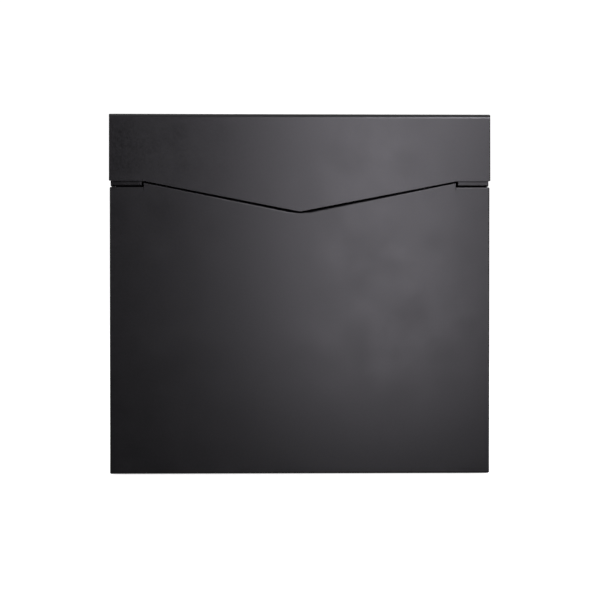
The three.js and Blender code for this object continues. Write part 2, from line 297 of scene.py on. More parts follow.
@dataclass(frozen=True)
class DrawnMetal(Finish):
    """Plated or turned metal with fine lines along one direction."""

    stretch: Point = (1, 1, 12)

    def make(self) -> bpy.types.Material:
        """Builds the material.

        Returns:
            The finished material.
        """
        material, bench, shader, place = self.start()
        lay = bench.add("ShaderNodeMapping")
        lay.inputs["Scale"].default_value = self.stretch
        bench.join(place, lay.inputs["Vector"])
        lines = bench.noise(lay.outputs["Vector"], self.grain, 2)
        cloud = bench.noise(place, self.patch, 4)
        bench.join(bench.blend(bench.span(cloud, 0, 1), self.dark, self.light), shader.inputs["Base Color"])
        bench.join(bench.span(lines, *self.rough), shader.inputs["Roughness"])
        bench.join(bench.bump(lines, self.grain_depth, self.grain_strength), shader.inputs["Normal"])
        return material


FINISHES: dict[Slot, Finish] = {
    Slot.COAT: PowderCoat("black_powder_coat", (0.003, 0.0029, 0.0032), (0.006, 0.0058, 0.0065),
                          (0.305, 0.35), speck=2.2 * MM, grain=1.0 * MM, grain_depth=0.012 * MM,
                          grain_strength=0.2),
    Slot.STEEL: DrawnMetal("zinc_plated_steel", (0.42, 0.43, 0.45), (0.58, 0.58, 0.57), (0.28, 0.46),
                           metallic=1, patch=9 * MM),
    Slot.ZINC: DrawnMetal("nickelled_zinc", (0.48, 0.47, 0.45), (0.60, 0.59, 0.57), (0.2, 0.34),
                          metallic=1, patch=8 * MM, stretch=(1, 1, 1)),
    Slot.BRASS: DrawnMetal("turned_brass", (0.47, 0.33, 0.12), (0.62, 0.47, 0.2), (0.22, 0.38),
                           metallic=1, patch=5 * MM, stretch=(1, 8, 1)),
    Slot.ALUMINIUM: DrawnMetal("plain_aluminium", (0.58, 0.59, 0.60), (0.72, 0.72, 0.73), (0.3, 0.45),
                               metallic=1, patch=4 * MM, stretch=(1, 1, 1)),
    Slot.NYLON: Finish("black_nylon", (0.025, 0.025, 0.026), (0.04, 0.04, 0.041), (0.38, 0.52), patch=6 * MM),
    Slot.RUBBER: Finish("moulded_rubber", (0.012, 0.012, 0.012), (0.022, 0.022, 0.022), (0.6, 0.8),
                        patch=5 * MM, grain=0.3 * MM),
}


# Dark finish for the pivot pins and the bracket: partly black zinc plating, partly painted shade that darkens
# them where they sit in the shaded gap between door and case.
BLACKENED_FOR_GAP_SHADE = DrawnMetal("black_zinc_gap_shade", (0.05, 0.05, 0.052), (0.09, 0.09, 0.092), (0.35, 0.5), metallic=1,
                       patch=5 * MM)


# --- mesh tools


@dataclass
class Shop:
    """Hands out materials, and settles finished pieces on their bodies."""

    materials: dict[str, bpy.types.Material] = field(default_factory=dict)

    def material(self, finish: Finish) -> bpy.types.Material:
        """The finish's material, made when it is first asked for."""
        if finish.name not in self.materials:
            self.materials[finish.name] = finish.make()
        return self.materials[finish.name]

    def settle(self, piece: Piece, slot: Slot, body: Body, nodes: Iterable[str],
               finish: Finish | None = None) -> None:
        """Dresses a piece and lets it stand for its CAD nodes.

        Args:
            piece: the finished object.
            slot: its material slot.
            body: the body that it moves with.
            nodes: the CAD nodes that it replaces.
            finish: its finish, where that isn't the slot's usual one.
        """
        piece.data.materials.clear()
        piece.data.materials.append(self.material(finish or FINISHES[slot]))
        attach(piece, body.value)
        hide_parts(*nodes)
        LOG.info("%s: %d faces, rides on %s", piece.name, len(piece.data.polygons), body.value)


def new_object(name: str, data: bpy.types.ID) -> Piece:
    """Puts a mesh, a light or a camera into the scene as an object at the origin."""
    piece = bpy.data.objects.new(name, data)
    bpy.context.scene.collection.objects.link(piece)
    return piece


def from_bmesh(name: str, shape: bmesh.types.BMesh) -> Piece:
    """Turns a bmesh into an object, and frees it."""
    mesh = bpy.data.meshes.new(name)
    shape.to_mesh(mesh)
    shape.free()
    return new_object(name, mesh)


def apply_modifiers(piece: Piece) -> None:
    """Bakes an object's modifiers into its mesh and removes them."""
    depsgraph = bpy.context.evaluated_depsgraph_get()
    depsgraph.update()
    mesh = bpy.data.meshes.new_from_object(piece.evaluated_get(depsgraph), depsgraph=depsgraph)
    piece.modifiers.clear()
    old = piece.data
    piece.data = mesh
    bpy.data.meshes.remove(old)
    mesh.name = piece.name


def carve(piece: Piece, cutters: Sequence[Piece], operation: str = "DIFFERENCE",
          tight: bool = False) -> None:
    """Cuts cutters out of a piece, or joins them to it, and removes them.

    Args:
        piece: the object to change.
        cutters: the closed objects to use.
        operation: the boolean modifier's operation.
        tight: whether the piece has bends so tight that their inner faces cross.
    """
    for cutter in cutters:
        modifier = piece.modifiers.new("carve", "BOOLEAN")
        modifier.operation = operation
        modifier.solver = "EXACT"
        modifier.use_self = tight
        modifier.object = cutter
    apply_modifiers(piece)
    for cutter in cutters:
        bpy.data.objects.remove(cutter)


def finish_edges(piece: Piece, width: float) -> None:
    """Breaks a piece's sharp edges and sets its shading.

    Args:
        piece: the object to finish.
        width: width of the broken edge, or 0 for none.
    """
    for face in piece.data.polygons:
        face.use_smooth = True
    if width > 0:
        edge = piece.modifiers.new("broken_edges", "BEVEL")
        edge.width = width
        edge.segments = BROKEN_EDGE_FACES
        edge.limit_method = "ANGLE"
        edge.angle_limit = SHARP_ANGLE
    weigh = piece.modifiers.new("flat_faces_stay_flat", "WEIGHTED_NORMAL")
    weigh.weight = 100
    weigh.keep_sharp = False
    apply_modifiers(piece)


def box_cutter(low: Point, high: Point) -> Piece:
    """A box between two corners, for cutting or joining."""
    shape = bmesh.new()
    size = Vector(high) - Vector(low)
    centre = (Vector(high) + Vector(low)) / 2
    bmesh.ops.create_cube(shape, size=1, matrix=Matrix.Translation(centre) @ Matrix.Diagonal((*size, 1)))
    return from_bmesh("cutter", shape)


def rod_cutter(radius: float, middle: Point, length: float, axis: Axis, sides: int = 40) -> Piece:
    """A cylinder for cutting round holes.

    Args:
        radius: the hole's radius.
        middle: centre of the cylinder.
        length: its length.
        axis: its direction.
        sides: faces round it.

    Returns:
        The cutter.
    """
    shape = bmesh.new()
    bmesh.ops.create_cone(shape, cap_ends=True, segments=sides, radius1=radius, radius2=radius, depth=length,
                          matrix=Matrix.Translation(middle) @ axis.value)
    return from_bmesh("cutter", shape)


def turned(name: str, profile: Profile, middle: Point, axis: Axis, sides: int = 48) -> Piece:
    """A piece turned on a lathe.

    Args:
        name: the piece's name.
        profile: (radius, height) points of the closed section, or from axis to axis.
        middle: where the section's origin goes.
        axis: direction of the lathe's axis.
        sides: steps round the axis.

    Returns:
        The piece, with its sharp edges still to be broken.
    """
    shape = bmesh.new()
    on_axis = profile[0][0] == 0 and profile[-1][0] == 0
    points = list(profile) if on_axis else [*profile, profile[0]]
    verts = [shape.verts.new((radius, 0, height)) for radius, height in points]
    edges = [shape.edges.new(pair) for pair in zip(verts, verts[1:])]
    bmesh.ops.spin(shape, geom=[*verts, *edges], cent=(0, 0, 0), axis=(0, 0, 1), angle=2 * math.pi,
                   steps=sides)
    bmesh.ops.remove_doubles(shape, verts=shape.verts, dist=1e-7)
    bmesh.ops.dissolve_degenerate(shape, dist=1e-8, edges=shape.edges)
    bmesh.ops.recalc_face_normals(shape, faces=shape.faces)
    bmesh.ops.transform(shape, matrix=Matrix.Translation(middle) @ axis.value, verts=shape.verts)
    return from_bmesh(name, shape)


def softened(name: str, node: str, width: float) -> Piece:
    """A copy of a CAD node with its doubles merged, flats joined and edges broken.

    Args:
        name: the new piece's name.
        node: the CAD node to copy.
        width: width of the broken edges.

    Returns:
        The finished piece.
    """
    source = bpy.data.objects[FRAME_NODES[node].name]
    shape = bmesh.new()
    shape.from_mesh(source.data)
    bmesh.ops.transform(shape, matrix=source.matrix_world, verts=shape.verts)
    bmesh.ops.remove_doubles(shape, verts=shape.verts, dist=1e-6)
    bmesh.ops.dissolve_limit(shape, angle_limit=math.radians(1), verts=shape.verts, edges=shape.edges)
    piece = from_bmesh(name, shape)
    finish_edges(piece, width)
    return piece


FRAME_NODES: dict[str, Piece] = {}


@dataclass
class FoldedSheet:
    """A piece bent from one sheet, given by the flat panels of its outer skin."""

    name: str
    panels: list[list[Point]]
    front: Vector
    radius_of: Callable[[Vector, Vector], float]
    thickness: float = 1.0 * MM
    edge_break: float = 0.18 * MM
    bend_steps: int = 8
    largest: float = field(default=0.0, init=False)

    def skin(self) -> Piece:
        """Joins the panels at their shared corners and weights each fold by its radius.

        Returns:
            The skin as an open mesh, with its faces pointing outwards.
        """
        shape = bmesh.new()
        found: dict[tuple[int, int, int], bmesh.types.BMVert] = {}
        first = None
        for panel in self.panels:
            corners = []
            for point in panel:
                key = tuple(round(value * 1e7) for value in point)
                if key not in found:
                    found[key] = shape.verts.new(point)
                corners.append(found[key])
            face = shape.faces.new(corners)
            first = first or face
        shape.normal_update()
        bmesh.ops.recalc_face_normals(shape, faces=shape.faces)
        if first.normal.dot(self.front) < 0:
            bmesh.ops.reverse_faces(shape, faces=shape.faces)
        weight = shape.edges.layers.float.new("bevel_weight_edge")
        self.largest = 0.0
        radii = {}
        for edge in shape.edges:
            if len(edge.link_faces) == 2 and edge.calc_face_angle() > FOLD_ANGLE:
                radii[edge] = self.radius_of(edge.verts[0].co, edge.verts[1].co)
                self.largest = max(self.largest, radii[edge])
        for edge, radius in radii.items():
            edge[weight] = radius / self.largest
        return from_bmesh(self.name, shape)

    def build(self) -> Piece:
        """Bends and thickens the sheet.

        Returns:
            The solid sheet, with its cut edges still square.
        """
        piece = self.skin()
        bend = piece.modifiers.new("bends", "BEVEL")
        bend.limit_method = "WEIGHT"
        bend.width = self.largest
        bend.segments = self.bend_steps
        bend.use_clamp_overlap = False
        wall = piece.modifiers.new("sheet", "SOLIDIFY")
        wall.thickness = self.thickness
        wall.offset = -1
        wall.use_even_offset = True
        wall.use_quality_normals = True
        apply_modifiers(piece)
        return piece

    def trim(self, piece: Piece) -> Piece:
        """Breaks the cut edges of the built sheet and returns it."""
        finish_edges(piece, self.edge_break)
        return piece


def middle_of(node: str) -> Point:
    """The middle of a CAD node's box."""
    return tuple((a + b) / 2 for a, b in zip(*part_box(node)))


def strips(start: float, end: float, section: Profile) -> list[list[Point]]:
    """Flat panels along X, one for each step of a (y, z) section."""
    return [[(start, y0, z0), (end, y0, z0), (end, y1, z1), (start, y1, z1)]
            for (y0, z0), (y1, z1) in zip(section, section[1:])]


def ring(inner: float, outer: float, thick: float) -> Profile:
    """Section of a flat ring."""
    return [(inner, 0), (outer, 0), (outer, thick), (inner, thick)]


def same(value: float) -> Callable[[Vector, Vector], float]:
    """A radius rule that gives every fold the same radius."""
    return lambda start, end: value


# --- lid


@dataclass
class Lid:
    """The lifting lid: roof, V-edged front flap and two cheeks from one sheet."""

    shop: Shop
    bend: float = 5.0 * MM
    side_bend: float = 1.3 * MM
    shoulder: float = 165 * MM
    end_height: float = 70.8 * MM
    cheek_rear: float = 344 * MM

    def flap_y(self, z: float) -> float:
        """Depth of the leaning flap's outer face at a height: flush with the door at the top."""
        low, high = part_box("lid_shell")
        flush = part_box("door_pan")[0].y
        return flush + (low.y - flush) * (high.z - z) / (high.z - low.z)

    def panels(self) -> list[list[Point]]:
        """The lid's outer skin: flap, roof and cheeks."""
        low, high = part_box("lid_shell")
        half, top, end = high.x, high.z, high.z - self.end_height
        front, foot, point = self.flap_y(top), self.flap_y(end), self.flap_y(low.z)
        flap = [(-half, front, top), (-half, foot, end), (-self.shoulder, foot, end), (0, point, low.z),
                (self.shoulder, foot, end), (half, foot, end), (half, front, top)]
        roof = [(-half, front, top), (half, front, top), (half, high.y, top), (-half, high.y, top)]
        cheeks = [[(side * half, front, top), (side * half, high.y, top),
                   (side * half, high.y, self.cheek_rear), (side * half, foot, end)] for side in (-1, 1)]
        return [flap, roof, *cheeks]

    def fold_radius(self, start: Vector, end: Vector) -> float:
        """Radius of the fold between two corners."""
        return self.bend if abs(start.x - end.x) > MM else self.side_bend

    def build_shell(self) -> None:
        """Folds the lid's sheet and keeps its mitred corners flush with the cheeks."""
        sheet = FoldedSheet("lid_sheet", self.panels(), Vector((0, -1, 0)), self.fold_radius)
        piece = sheet.trim(sheet.build())
        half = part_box("lid_shell")[1].x
        for vertex in piece.data.vertices:
            vertex.co.x = max(-half, min(half, vertex.co.x))
        self.shop.settle(piece, Slot.COAT, Body.LID, ["lid_shell"])

    def build_hinge_parts(self) -> None:
        """Makes the ears under the roof and the bushes in them."""
        for side, name in ((-1, "left"), (1, "right")):
            ear = softened(f"ear_{name}", f"lid_ear_{name}", 0.25 * MM)
            self.shop.settle(ear, Slot.STEEL, Body.LID, [f"lid_ear_{name}"])
            low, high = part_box(f"lid_bush_{name}")
            _, y, z = middle_of(f"lid_bush_{name}")
            inner = low.x if side > 0 else high.x
            length = high.x - low.x
            profile = [(3.3 * MM, 0), (5 * MM, 0), (5 * MM, 1 * MM), (4 * MM, 1 * MM),
                       (4 * MM, length), (3.3 * MM, length)]
            bush = turned(f"bush_{name}", [(r, side * h) for r, h in profile], (inner, y, z), Axis.X)
            finish_edges(bush, 0.15 * MM)
            self.shop.settle(bush, Slot.NYLON, Body.LID, [f"lid_bush_{name}"])

    def build(self) -> None:
        """Builds the whole lid."""
        self.build_shell()
        self.build_hinge_parts()


# --- door


@dataclass
class Door:
    """The door: a pan with folded edges and a rolled V edge under the flap."""

    shop: Shop
    edge_gap: float = 1.2 * MM
    roll: float = 3.0 * MM
    side_bend: float = 1.5 * MM
    foot_bend: float = 2.2 * MM
    end_bend: float = 1.3 * MM
    lip_bend: float = 1.6 * MM
    notch_wide: float = 1.2 * MM
    notch_deep: float = 2.4 * MM
    slit: float = 1 * MM
    v_half: float = 164 * MM
    relief: float = 0.5 * MM
    relief_depth: float = 4 * MM
    lip: float = 9 * MM
    lip_drop: float = 4.5 * MM
    edge_reach: float = 40 * MM
    pivot_hole: float = 2.2 * MM
    tip_radius: float = 60 * MM
    tip_steps: int = 8

    @property
    def end_top(self) -> float:
        """Height of the door's two straight ends, one slit under the jambs."""
        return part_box("jamb_left")[0].z - self.slit

    def v_edge(self) -> list[tuple[float, float]]:
        """The V edge from right to left as (x, z), with a rounded point.

        Returns:
            The points of the edge.
        """
        end_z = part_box("door_pan")[1].z
        flap_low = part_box("lid_shell")[0].z
        tip_z = flap_low - self.edge_gap
        lean = math.atan2(end_z - tip_z, self.v_half)
        centre = tip_z + self.tip_radius / math.cos(lean)
        steps = [lean * (1 - 2 * i / self.tip_steps) for i in range(self.tip_steps + 1)]
        arc = [(self.tip_radius * math.sin(a), centre - self.tip_radius * math.cos(a)) for a in steps]
        return [(self.v_half, end_z), *arc, (-self.v_half, end_z)]

    def panels(self) -> list[list[Point]]:
        """The door's outer skin: face, folded edges and the lips behind them."""
        low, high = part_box("door_pan")
        half, front, back, foot, top = high.x, low.y, high.y, low.z, self.end_top
        slit, deep = self.v_half + self.relief, top - self.relief_depth
        edge = self.v_edge()
        outline = [(-half, foot), (half, foot), (half, top), (slit, top), (slit, deep),
                   (self.v_half, deep), *edge, (-self.v_half, deep), (-slit, deep), (-slit, top),
                   (-half, top)]
        panels = [[(x, front, z) for x, z in outline]]
        panels += [[(x0, front, z0), (x1, front, z1), (x1, back, z1), (x0, back, z0)]
                   for (x0, z0), (x1, z1) in zip(edge, edge[1:])]
        lip_top = top - self.lip_drop
        cut, deep_y = lip_top + self.notch_wide, back - self.notch_deep
        inner, sill = half - self.lip, foot + self.lip
        panels.append([(-half, front, foot), (half, front, foot), (half, back, foot), (-half, back, foot)])
        panels.append([(-half, back, foot), (half, back, foot), (inner, back, sill), (-inner, back, sill)])
        for side in (-1, 1):
            x, lip_x = side * half, side * inner
            slit_x = side * slit
            panels += [
                [(x, front, foot), (x, front, top), (x, back, top), (x, back, cut), (x, deep_y, cut),
                 (x, deep_y, lip_top), (x, back, lip_top), (x, back, foot)],
                [(x, back, foot), (x, back, lip_top), (lip_x, back, lip_top), (lip_x, back, sill)],
                [(x, front, top), (slit_x, front, top), (slit_x, back, top), (x, back, top)],
            ]
        return panels

    def fold_radius(self, start: Vector, end: Vector) -> float:
        """Radius of the fold between two corners."""
        low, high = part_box("door_pan")
        on_front = max(start.y, end.y) < low.y + MM
        within_v = max(abs(start.x), abs(end.x)) <= self.v_half
        if on_front and within_v and min(start.z, end.z) > self.end_top - self.edge_reach:
            return self.roll
        if on_front and min(start.z, end.z) >= self.end_top - MM:
            return self.end_bend
        if not on_front and min(start.y, end.y) > high.y - MM:
            return self.lip_bend
        return self.foot_bend if abs(start.x - end.x) > self.v_half else self.side_bend

    def build_pan(self) -> None:
        """Folds the pan, then cuts the pivot holes and the slot for the pivot bracket."""
        sheet = FoldedSheet("door_sheet", self.panels(), Vector((0, -1, 0)), self.fold_radius)
        piece = sheet.build()
        low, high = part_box("door_pan")
        x, y, _ = middle_of("pivot_pin_lower")
        slot = box_cutter((low.x - MM, low.y + 1.3 * MM, low.z + 1 * MM),
                          (x + 9 * MM, high.y + MM, low.z + 5.5 * MM))
        hole = rod_cutter(self.pivot_hole, (x, y, (low.z + high.z) / 2), 2 * (high.z - low.z), Axis.Z)
        carve(piece, [slot, hole], tight=True)
        self.shop.settle(sheet.trim(piece), Slot.COAT, Body.DOOR, ["door_pan"])

    def build_stiffener(self) -> None:
        """Folds the hat-shaped channel across the door's inside."""
        low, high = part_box("door_stiffener")
        wide, web = 13 * MM, 1 * MM
        section = [(low.y + web, low.z), (low.y + web, low.z + wide - web), (high.y, low.z + wide - web),
                   (high.y, high.z - wide + web), (low.y + web, high.z - wide + web), (low.y + web, high.z)]
        sheet = FoldedSheet("door_channel", strips(low.x, high.x, section), Vector((0, 1, 0)), same(1.8 * MM))
        self.shop.settle(sheet.trim(sheet.build()), Slot.COAT, Body.DOOR, ["door_stiffener"])

    def build_keeper(self) -> None:
        """Folds the channel that the lock's cam turns into."""
        low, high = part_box("door_keeper")
        loop = [(low.x, low.y), (high.x, low.y), (high.x, high.y), (low.x, high.y)]
        panels = [[(x0, y0, low.z), (x1, y1, low.z), (x1, y1, high.z), (x0, y0, high.z)]
                  for (x0, y0), (x1, y1) in zip(loop, loop[1:])]
        sheet = FoldedSheet("keeper_channel", panels, Vector((0, -1, 0)), same(2 * MM), thickness=1.2 * MM)
        self.shop.settle(sheet.trim(sheet.build()), Slot.STEEL, Body.DOOR, ["door_keeper"])

    def build(self) -> None:
        """Builds the whole door."""
        self.build_pan()
        self.build_stiffener()
        self.build_keeper()


# --- case


@dataclass
class Case:
    """The fixed case: wrap, back panel, baffle and the two front jambs."""

    shop: Shop
    bend: float = 2.0 * MM
    jamb_depth: float = 13 * MM
    flange: float = 9 * MM
    corner: float = 12 * MM
    notch_wide: float = 1.2 * MM
    notch_deep: float = 2.8 * MM
    drain_radius: float = 4 * MM
    drain_x: float = 150 * MM
    drain_y: tuple[float, float] = (-35 * MM, 45 * MM)
    screw_x: float = 140 * MM
    screw_z: float = 50 * MM
    screw_radius: float = 4 * MM
    key_z: float = 335 * MM
    key_top: float = 344.25 * MM
    key_radius: float = 5.5 * MM
    key_slot: float = 2.75 * MM
    through: float = 6 * MM
    rivet_hole: float = 2 * MM

    @property
    def step_z(self) -> float:
        """Height where the case's front steps forward to the jambs."""
        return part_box("jamb_left")[0].z

    def wall(self, side: int) -> list[Point]:
        """Outline of one side wall, with the round corner beside the hinge rod.

        Args:
            side: -1 for the left wall, 1 for the right one.

        Returns:
            The wall's corners.
        """
        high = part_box("case_wrap")[1]
        _, rod_y, rod_z = middle_of("hinge_rod")
        boss = high.z - rod_z
        jamb_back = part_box("jamb_left")[0].y + 1.3 * MM
        front = jamb_back + 12.2 * MM
        arc = [(rod_y + boss * math.cos(a), rod_z + boss * math.sin(a))
               for a in (math.radians(11.25 * i) for i in range(9))]
        flange_top = rod_z - 9 * MM
        cut, deep, fold_top = self.corner - self.notch_wide, self.notch_deep, self.step_z - self.notch_wide
        outline = [(front, 0), (high.y, 0), (high.y, cut), (high.y - deep, cut), (high.y - deep, self.corner),
                   (high.y, self.corner), (high.y, flange_top), (rod_y + boss, flange_top), *arc,
                   (jamb_back, high.z), (jamb_back, self.step_z), (front + deep, self.step_z),
                   (front + deep, fold_top), (front, fold_top), (front, self.corner),
                   (front + deep, self.corner), (front + deep, cut), (front, cut)]
        return [(side * high.x, y, z) for y, z in outline]

    def floor(self, front: float, back: float, half: float) -> list[Point]:
        """Outline of the floor, with a notch beside each end of its flanges.

        Args:
            front: depth of its front edge.
            back: depth of its back edge.
            half: half of its width.

        Returns:
            The floor's corners.
        """
        start, cut, deep = half - self.corner, half - self.corner + self.notch_wide, self.notch_deep
        front_row = [(cut, front), (cut, front + deep), (start, front + deep), (start, front)]
        back_row = [(cut, back), (cut, back - deep), (start, back - deep), (start, back)]
        near = [(-x, y) for x, y in front_row] + front_row[::-1]
        far = back_row + [(-x, y) for x, y in back_row[::-1]]
        outline = [(-half, front), *near, (half, front), (half, back), *far, (-half, back)]
        return [(x, y, 0.0) for x, y in outline]

    def wrap_panels(self) -> list[list[Point]]:
        """The wrap's outer skin: walls, floor and the edges folded inwards."""
        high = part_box("case_wrap")[1]
        half, back, start = high.x, high.y, high.x - self.corner
        left, right = self.wall(-1), self.wall(1)
        front, flange_top = left[0][1], left[6][2]
        panels = [left, right, self.floor(front, back, half)]
        for y, top in ((front, self.step_z - self.notch_wide), (back, flange_top)):
            for side in (-1, 1):
                x, edge = side * half, side * (half - self.flange)
                panels.append([(x, y, self.corner), (x, y, top), (edge, y, top), (edge, y, self.corner)])
            panels.append([(-start, y, 0), (start, y, 0), (start, y, self.flange), (-start, y, self.flange)])
        return panels

    def rivet_holes(self, prefix: str) -> list[Piece]:
        """Cutters at the rivets whose node names start with a prefix."""
        holes = []
        for node in [name for name in FRAME_NODES if name.startswith(prefix)]:
            x, _, z = middle_of(node)
            holes.append(rod_cutter(self.rivet_hole, (x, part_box(node)[1].y, z), 2 * self.through, Axis.Y))
        return holes

    def build_wrap(self) -> None:
        """Folds the wrap and drills it."""
        sheet = FoldedSheet("case_sheet", self.wrap_panels(), Vector((-1, 0, 0)), same(self.bend))
        piece = sheet.build()
        cutters = [rod_cutter(3.3 * MM, middle_of("hinge_rod"), 0.42, Axis.X)]
        cutters += [rod_cutter(self.drain_radius, (x, y, 0), self.through, Axis.Z)
                    for x in (-self.drain_x, self.drain_x) for y in self.drain_y]
        carve(piece, cutters + self.rivet_holes("panel_rivet"))
        self.shop.settle(sheet.trim(piece), Slot.COAT, Body.CASE, ["case_wrap"])

    def build_back(self) -> None:
        """Cuts the flat back with its keyholes, screw holes and rivet holes."""
        low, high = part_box("back_panel")
        piece = box_cutter(tuple(low), tuple(high))
        piece.name = "back_sheet"
        y = (low.y + high.y) / 2
        rounds = ((self.screw_radius, self.screw_z), (self.key_radius, self.key_z),
                  (self.key_slot, self.key_top))
        cutters = []
        for x in (-self.screw_x, self.screw_x):
            cutters += [rod_cutter(radius, (x, y, z), self.through, Axis.Y) for radius, z in rounds]
            cutters.append(box_cutter((x - self.key_slot, y - self.through / 2, self.key_z),
                                      (x + self.key_slot, y + self.through / 2, self.key_top)))
        cutters += self.rivet_holes("panel_rivet") + self.rivet_holes("baffle_rivet")
        carve(piece, cutters)
        finish_edges(piece, 0.2 * MM)
        self.shop.settle(piece, Slot.COAT, Body.CASE, ["back_panel"])

    def build_baffle(self) -> None:
        """Folds the sloping plate inside the case."""
        low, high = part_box("baffle")
        section = [(high.y, high.z), (high.y, high.z - 16 * MM), (low.y + 0.4 * MM, low.z)]
        sheet = FoldedSheet("baffle_sheet", strips(low.x, high.x, section), Vector((0, 1, 0)), same(3 * MM))
        piece = sheet.build()
        carve(piece, self.rivet_holes("baffle_rivet"))
        self.shop.settle(sheet.trim(piece), Slot.COAT, Body.CASE, ["baffle"])

    def build_jamb(self, name: str, side: int) -> None:
        """Folds one front jamb and welds its wall tab on.

        Args:
            name: "left" or "right".
            side: -1 or 1.
        """
        low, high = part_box(f"jamb_{name}")
        outer, inner = side * max(abs(low.x), abs(high.x)), side * min(abs(low.x), abs(high.x))
        front, back, foot, top = low.y, low.y + self.jamb_depth, low.z, high.z
        panels = [
            [(inner, front, foot), (outer, front, foot), (outer, front, top), (inner, front, top)],
            [(inner, front, foot), (outer, front, foot), (outer, back, foot), (inner, back, foot)],
            [(inner, front, foot), (inner, front, top), (inner, back, top), (inner, back, foot)],
        ]
        sheet = FoldedSheet(f"jamb_sheet_{name}", panels, Vector((0, -1, 0)), same(1.6 * MM))
        piece = sheet.build()
        wall_x = outer - side * 1.3 * MM
        tab = sorted((wall_x, wall_x - side * 1 * MM))
        corner = box_cutter((min(outer, wall_x) - MM * (side < 0), front + 1 * MM, foot - MM),
                            (max(outer, wall_x) + MM * (side > 0), back + MM, foot + 3 * MM))
        carve(piece, [corner])
        carve(piece, [box_cutter((tab[0], front + 0.5 * MM, foot + 7 * MM), (tab[1], high.y, top))], "UNION")
        if side < 0:
            carve(piece, [rod_cutter(2.1 * MM, middle_of("pivot_pin_upper"), 30 * MM, Axis.Z)])
        else:
            x, _, z = middle_of("lock_housing")
            carve(piece, [rod_cutter(9.8 * MM, (x, front, z), 8 * MM, Axis.Y, 64)])
        self.shop.settle(sheet.trim(piece), Slot.COAT, Body.CASE, [f"jamb_{name}"])

    def build(self) -> None:
        """Builds the whole case."""
        self.build_wrap()
        self.build_back()
        self.build_baffle()
        self.build_jamb("left", -1)
        self.build_jamb("right", 1)


# --- repeated fasteners


# Piece, word in its nodes' names, slot, and in mm: head radius, head rise, shank radius, shank depth.
FASTENERS = (
    ("case_rivets", "rivet", Slot.ALUMINIUM, (3.4, 1.2, 1.7, 2.4)),
    ("door_stops", "door_bumper", Slot.RUBBER, (3, 1.0, 3, 0.9)),
    ("lid_stops", "lid_bumper", Slot.RUBBER, (4, 1.4, 4, 2.5)),
)


